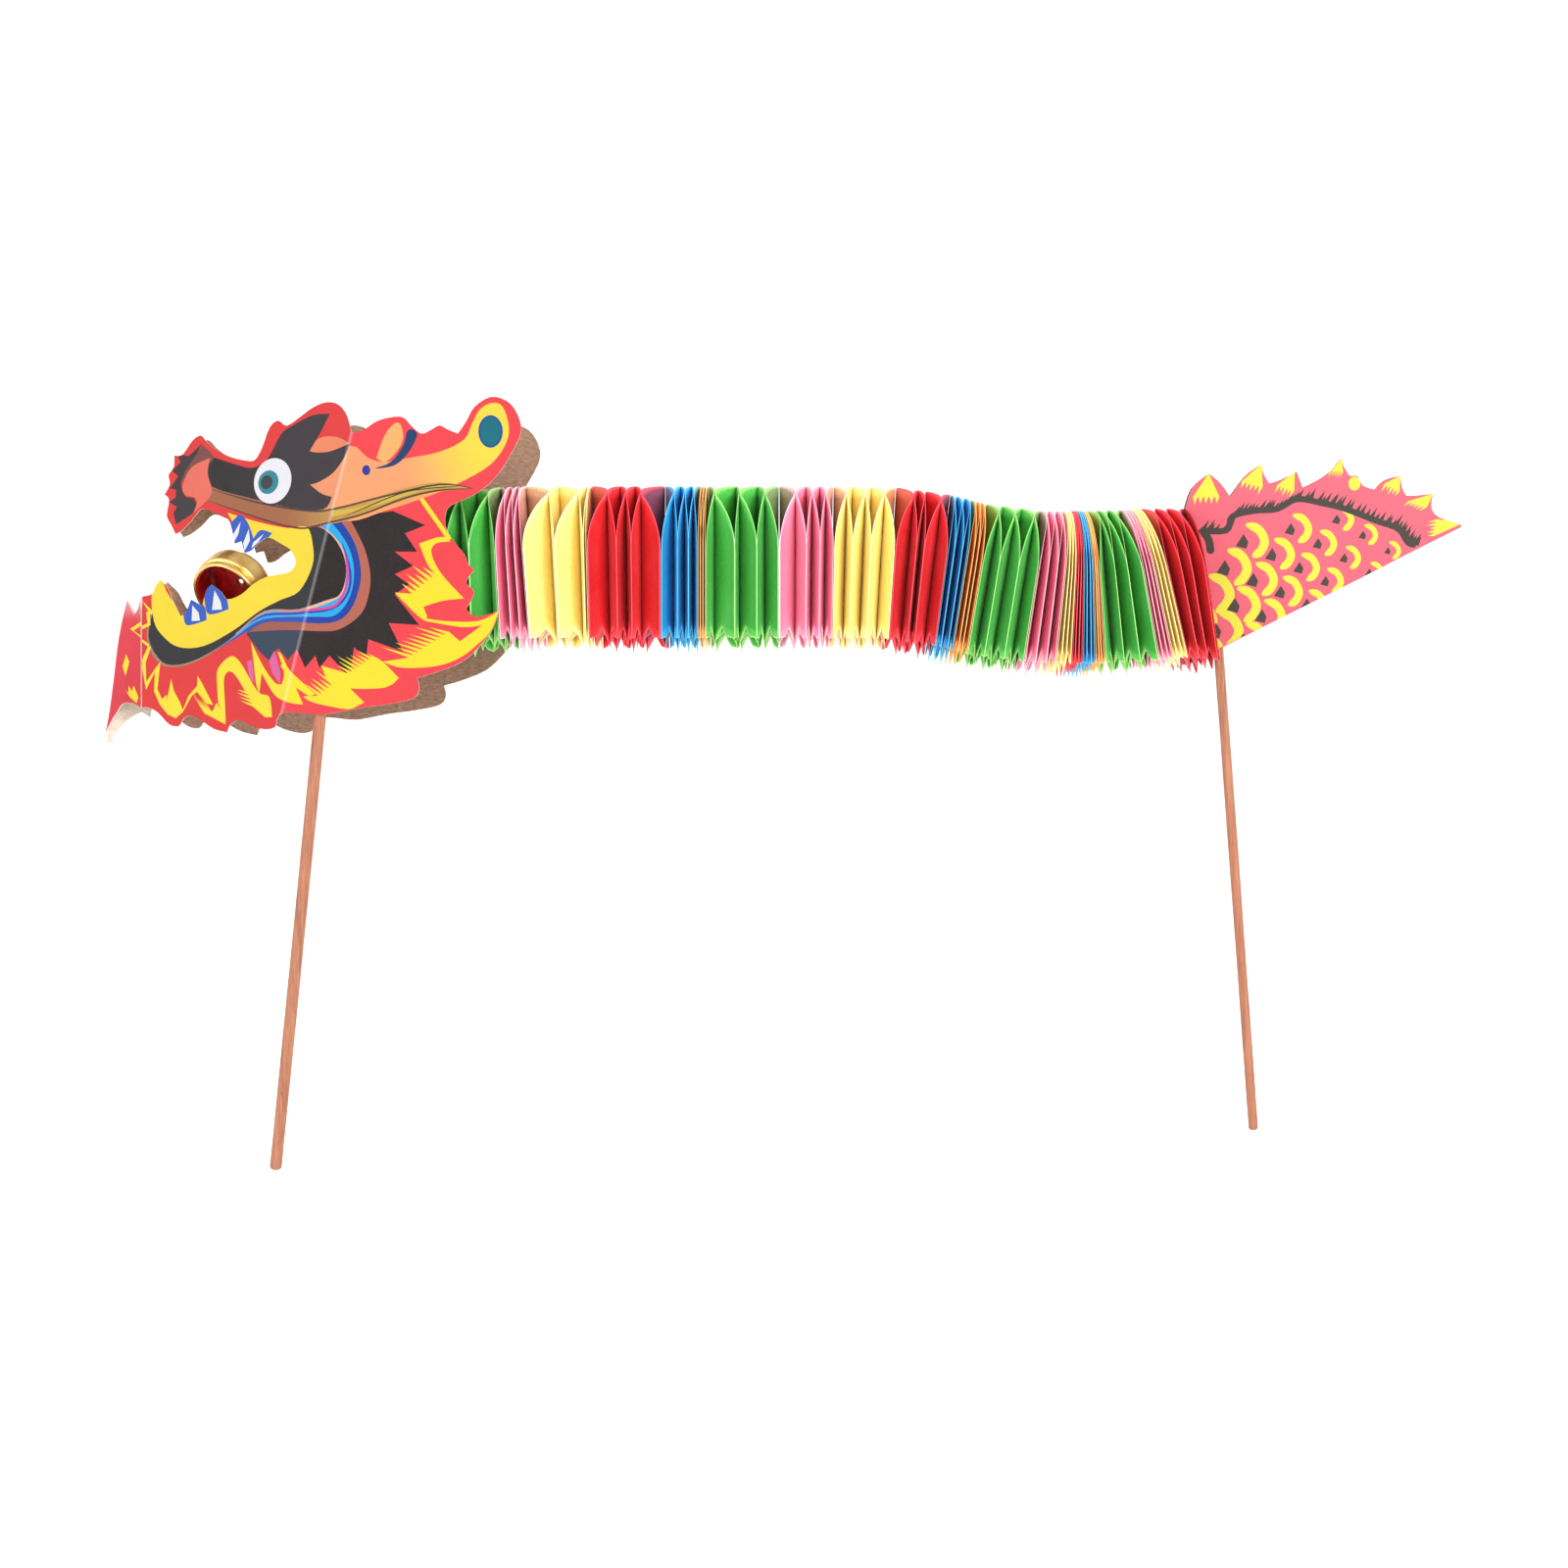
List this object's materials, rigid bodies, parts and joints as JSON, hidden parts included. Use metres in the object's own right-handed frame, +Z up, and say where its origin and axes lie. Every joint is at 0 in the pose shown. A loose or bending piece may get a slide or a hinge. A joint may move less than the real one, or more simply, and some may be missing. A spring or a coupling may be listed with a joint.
{
  "type": "paper dragon puppet on sticks",
  "caption": "Hand-held festival puppet: a folded card dragon head and tail joined by a honeycomb paper body in coloured bands, carried on wooden sticks.",
  "frame": {"origin": "on the axis of the head stick, 50 mm above its lower end, where the hand holds it", "axes": "+X from the head to the tail, +Y to the side away from the head stick, +Z up"},
  "size_m": [0.6924, 0.0765, 0.3801],
  "materials": {
    "printed_card": "gloss",
    "chin_card": "gloss",
    "tail_card": "satin",
    "kraft_card": "matte",
    "red_end_card": "matte",
    "paper_green": "matte",
    "paper_pink": "matte",
    "paper_yellow": "matte",
    "paper_red": "matte",
    "paper_blue": "matte",
    "paper_orange": "matte",
    "stick_wood": "satin",
    "clear_tape": "gloss",
    "clear_glue": "gloss",
    "gold_metal": "polished",
    "red_lacquer": "gloss"
  },
  "bodies": {
    "head": {"head_cheek_left": "printed_card", "head_cheek_right": "printed_card", "head_face_left": "printed_card", "head_face_right": "printed_card", "head_jaw_left": "printed_card", "head_jaw_right": "printed_card", "chin_strip_left": "chin_card", "chin_strip_right": "chin_card", "head_stick": "stick_wood", "head_stick_tape": "clear_tape", "mouth_cup": "gold_metal", "mouth_cup_liner": "red_lacquer", "mouth_cup_glue": "clear_glue", "mouth_bridge": "kraft_card", "front_board": "kraft_card"},
    "seg_01": {"pad_01_green": "paper_green"},
    "seg_02": {"pad_02_pink": "paper_pink"},
    "seg_03": {"pad_03_yellow": "paper_yellow"},
    "seg_04": {"pad_04_red": "paper_red"},
    "seg_05": {"pad_05_blue": "paper_blue"},
    "seg_06": {"pad_06_orange": "paper_orange"},
    "seg_07": {"pad_07_green": "paper_green"},
    "seg_08": {"pad_08_pink": "paper_pink"},
    "seg_09": {"pad_09_yellow": "paper_yellow"},
    "seg_10": {"pad_10_red": "paper_red"},
    "seg_11": {"pad_11_blue": "paper_blue"},
    "seg_12": {"pad_12_orange": "paper_orange"},
    "seg_13": {"pad_13_green": "paper_green"},
    "seg_14": {"pad_14_pink": "paper_pink"},
    "seg_15": {"pad_15_yellow": "paper_yellow"},
    "seg_16": {"pad_16_red": "paper_red"},
    "seg_17": {"pad_17_blue": "paper_blue"},
    "seg_18": {"pad_18_orange": "paper_orange"},
    "seg_19": {"pad_19_green": "paper_green"},
    "seg_20": {"pad_20_pink": "paper_pink"},
    "seg_21": {"pad_21_yellow": "paper_yellow"},
    "seg_22": {"pad_22_red": "paper_red", "rear_board": "red_end_card", "tail_card_left": "tail_card", "tail_card_right": "tail_card", "tail_fold": "tail_card", "tail_stick": "stick_wood", "tail_stick_glue": "clear_glue"}
  },
  "joints": [
    {"name": "stretch_01", "type": "slide", "parent": "head", "child": "seg_01", "axis": [1, 0, 0], "range_m": [-0.01481, 0.00984], "deforming": ["pad_01_green"]},
    {"name": "wave_02", "type": "hinge", "parent": "seg_01", "child": "seg_02", "pos_m": [0.11037, 0.03455, 0.25449], "axis": [0.001, -1, 0.001], "range_deg": [-5.5, 5.5], "deforming": ["pad_02_pink"]},
    {"name": "stretch_03", "type": "slide", "parent": "seg_02", "child": "seg_03", "axis": [1, 0, 0], "range_m": [-0.01435, 0.00954], "deforming": ["pad_03_yellow"]},
    {"name": "body_bend", "type": "hinge", "parent": "seg_03", "child": "seg_04", "pos_m": [0.16687, 0.03455, 0.25474], "axis": [-0.0121, 0.001, 0.9999], "range_deg": [-16, 16], "deforming": ["pad_04_red"]},
    {"name": "stretch_05", "type": "slide", "parent": "seg_04", "child": "seg_05", "axis": [1, 0, 0], "range_m": [-0.0082, 0.00545], "deforming": ["pad_05_blue"]},
    {"name": "stretch_06", "type": "slide", "parent": "seg_05", "child": "seg_06", "axis": [1, 0, 0], "range_m": [-0.00182, 0.00121], "deforming": ["pad_06_orange"]},
    {"name": "body_stretch", "type": "slide", "parent": "seg_06", "child": "seg_07", "axis": [1, 0, 0], "range_m": [-0.0164, 0.0109], "deforming": ["pad_07_green"]},
    {"name": "body_wave", "type": "hinge", "parent": "seg_07", "child": "seg_08", "pos_m": [0.25662, 0.03455, 0.25474], "axis": [0.001, -1, 0.001], "range_deg": [-11, 11], "deforming": ["pad_08_pink"]},
    {"name": "stretch_09", "type": "slide", "parent": "seg_08", "child": "seg_09", "axis": [1, 0, 0], "range_m": [-0.01367, 0.00908], "deforming": ["pad_09_yellow"]},
    {"name": "bend_10", "type": "hinge", "parent": "seg_09", "child": "seg_10", "pos_m": [0.31287, 0.03455, 0.25249], "axis": [0.1012, 0.001, 0.9949], "range_deg": [-11.18, 11.18], "deforming": ["pad_10_red"]},
    {"name": "stretch_11", "type": "slide", "parent": "seg_10", "child": "seg_11", "axis": [1, 0, 0], "range_m": [-0.00433, 0.00288], "deforming": ["pad_11_blue"]},
    {"name": "stretch_12", "type": "slide", "parent": "seg_11", "child": "seg_12", "axis": [1, 0, 0], "range_m": [-0.00342, 0.00227], "deforming": ["pad_12_orange"]},
    {"name": "stretch_13", "type": "slide", "parent": "seg_12", "child": "seg_13", "axis": [1, 0, 0], "range_m": [-0.01253, 0.00833], "deforming": ["pad_13_green"]},
    {"name": "wave_14", "type": "hinge", "parent": "seg_13", "child": "seg_14", "pos_m": [0.37687, 0.03455, 0.24249], "axis": [0.001, -1, 0.001], "range_deg": [-5.5, 5.5], "deforming": ["pad_14_pink"]},
    {"name": "stretch_15", "type": "slide", "parent": "seg_14", "child": "seg_15", "axis": [1, 0, 0], "range_m": [-0.00251, 0.00167], "deforming": ["pad_15_yellow"]},
    {"name": "bend_16", "type": "hinge", "parent": "seg_15", "child": "seg_16", "pos_m": [0.39112, 0.03455, 0.24224], "axis": [0.0359, 0.001, 0.9994], "range_deg": [-1.75, 1.75], "deforming": ["pad_16_red"]},
    {"name": "stretch_17", "type": "slide", "parent": "seg_16", "child": "seg_17", "axis": [1, 0, 0], "range_m": [-0.00205, 0.00136], "deforming": ["pad_17_blue"]},
    {"name": "stretch_18", "type": "slide", "parent": "seg_17", "child": "seg_18", "axis": [1, 0, 0], "range_m": [-0.0016, 0.00106], "deforming": ["pad_18_orange"]},
    {"name": "stretch_19", "type": "slide", "parent": "seg_18", "child": "seg_19", "axis": [1, 0, 0], "range_m": [-0.0098, 0.00651], "deforming": ["pad_19_green"]},
    {"name": "wave_20", "type": "hinge", "parent": "seg_19", "child": "seg_20", "pos_m": [0.42537, 0.03455, 0.24349], "axis": [0.001, -1, 0.001], "range_deg": [-2.24, 2.24], "deforming": ["pad_20_pink"]},
    {"name": "stretch_21", "type": "slide", "parent": "seg_20", "child": "seg_21", "axis": [1, 0, 0], "range_m": [-0.00296, 0.00197], "deforming": ["pad_21_yellow"]},
    {"name": "bend_22", "type": "hinge", "parent": "seg_21", "child": "seg_22", "pos_m": [0.44387, 0.03455, 0.24399], "axis": [-0.1813, 0.001, 0.9834], "range_deg": [-8.11, 8.11], "deforming": ["pad_22_red"]}
  ],
  "couplings": [
    {"joint": "stretch_01", "follows": "body_stretch", "ratio": 0.90278},
    {"joint": "wave_02", "follows": "body_wave", "ratio": 0.5},
    {"joint": "stretch_03", "follows": "body_stretch", "ratio": 0.875},
    {"joint": "stretch_05", "follows": "body_stretch", "ratio": 0.5},
    {"joint": "stretch_06", "follows": "body_stretch", "ratio": 0.11111},
    {"joint": "stretch_09", "follows": "body_stretch", "ratio": 0.83333},
    {"joint": "bend_10", "follows": "body_bend", "ratio": 0.69863},
    {"joint": "stretch_11", "follows": "body_stretch", "ratio": 0.26389},
    {"joint": "stretch_12", "follows": "body_stretch", "ratio": 0.20833},
    {"joint": "stretch_13", "follows": "body_stretch", "ratio": 0.76389},
    {"joint": "wave_14", "follows": "body_wave", "ratio": 0.5},
    {"joint": "stretch_15", "follows": "body_stretch", "ratio": 0.15278},
    {"joint": "bend_16", "follows": "body_bend", "ratio": 0.10959},
    {"joint": "stretch_17", "follows": "body_stretch", "ratio": 0.125},
    {"joint": "stretch_18", "follows": "body_stretch", "ratio": 0.097222},
    {"joint": "stretch_19", "follows": "body_stretch", "ratio": 0.59722},
    {"joint": "wave_20", "follows": "body_wave", "ratio": 0.2037},
    {"joint": "stretch_21", "follows": "body_stretch", "ratio": 0.18056},
    {"joint": "bend_22", "follows": "body_bend", "ratio": 0.50685}
  ]
}
